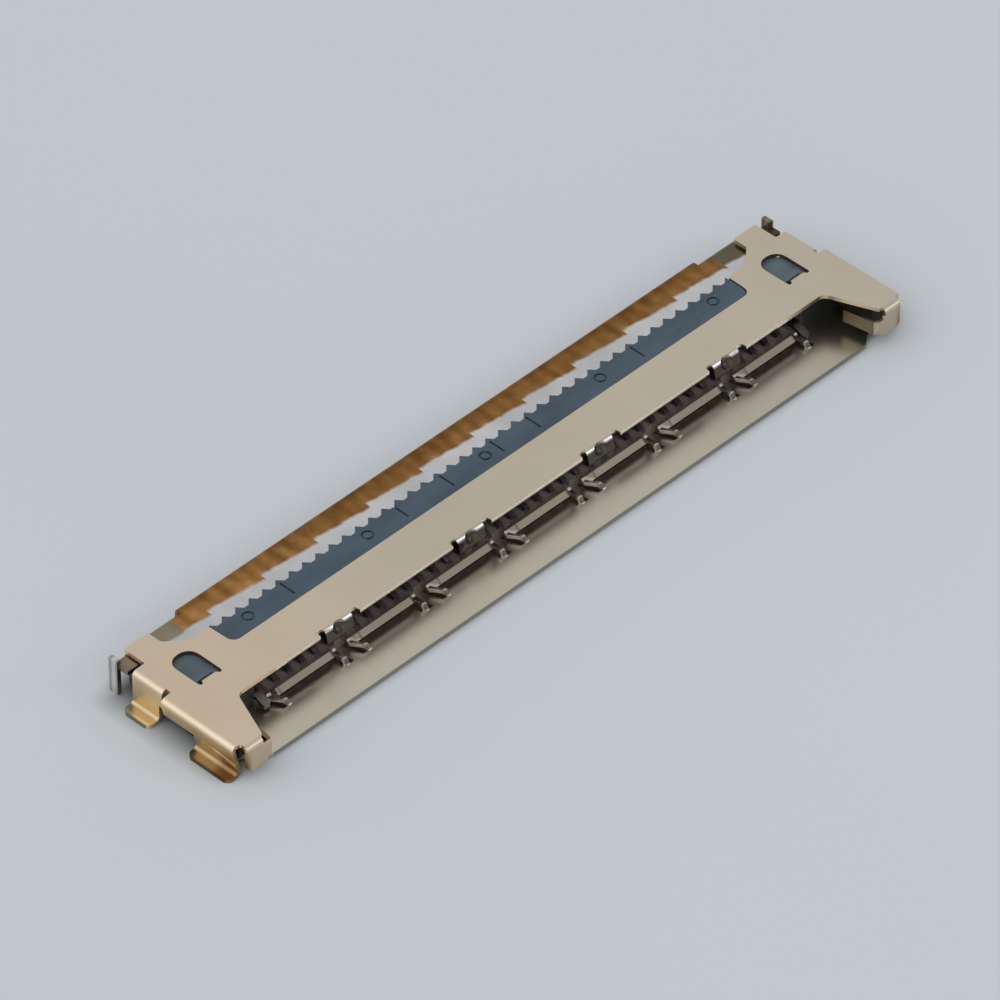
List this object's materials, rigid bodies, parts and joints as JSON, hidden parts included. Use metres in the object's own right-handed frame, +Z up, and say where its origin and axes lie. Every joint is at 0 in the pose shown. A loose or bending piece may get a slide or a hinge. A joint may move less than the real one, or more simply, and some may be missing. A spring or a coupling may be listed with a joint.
{
  "type": "micro coaxial connector",
  "caption": "Low right-angle board receptacle for a micro coaxial cable plug: a folded metal shell over a dark housing, a mating slot in front and a row of solder tails behind.",
  "frame": {"origin": "on the board, under the centre of the outline", "axes": "+X along the contact row, +Y towards the solder tails, +Z up from the board"},
  "size_m": [0.0262, 0.0058, 0.0012],
  "materials": {
    "housing": "moulded, satin",
    "shell": "pale gold plating, satin",
    "hold_down": "tinned, satin",
    "ground_terminal": "nickel plating, satin",
    "contact": "gold plating on the lead"
  },
  "bodies": {
    "root": {"housing": "housing", "upper_shell": "shell", "lower_shell": "shell", "left_hold_down": "hold_down", "right_hold_down": "hold_down", "left_ground_terminal": "ground_terminal", "right_ground_terminal": "ground_terminal", "contact_01": "contact", "contact_02": "contact", "contact_03": "contact", "contact_04": "contact", "contact_05": "contact", "contact_06": "contact", "contact_07": "contact", "contact_08": "contact", "contact_09": "contact", "contact_10": "contact", "contact_11": "contact", "contact_12": "contact", "contact_13": "contact", "contact_14": "contact", "contact_15": "contact", "contact_16": "contact", "contact_17": "contact", "contact_18": "contact", "contact_19": "contact", "contact_20": "contact", "contact_21": "contact", "contact_22": "contact", "contact_23": "contact", "contact_24": "contact", "contact_25": "contact", "contact_26": "contact", "contact_27": "contact", "contact_28": "contact", "contact_29": "contact", "contact_30": "contact", "contact_31": "contact", "contact_32": "contact", "contact_33": "contact", "contact_34": "contact", "contact_35": "contact", "contact_36": "contact", "contact_37": "contact", "contact_38": "contact", "contact_39": "contact", "contact_40": "contact"}
  },
  "joints": []
}
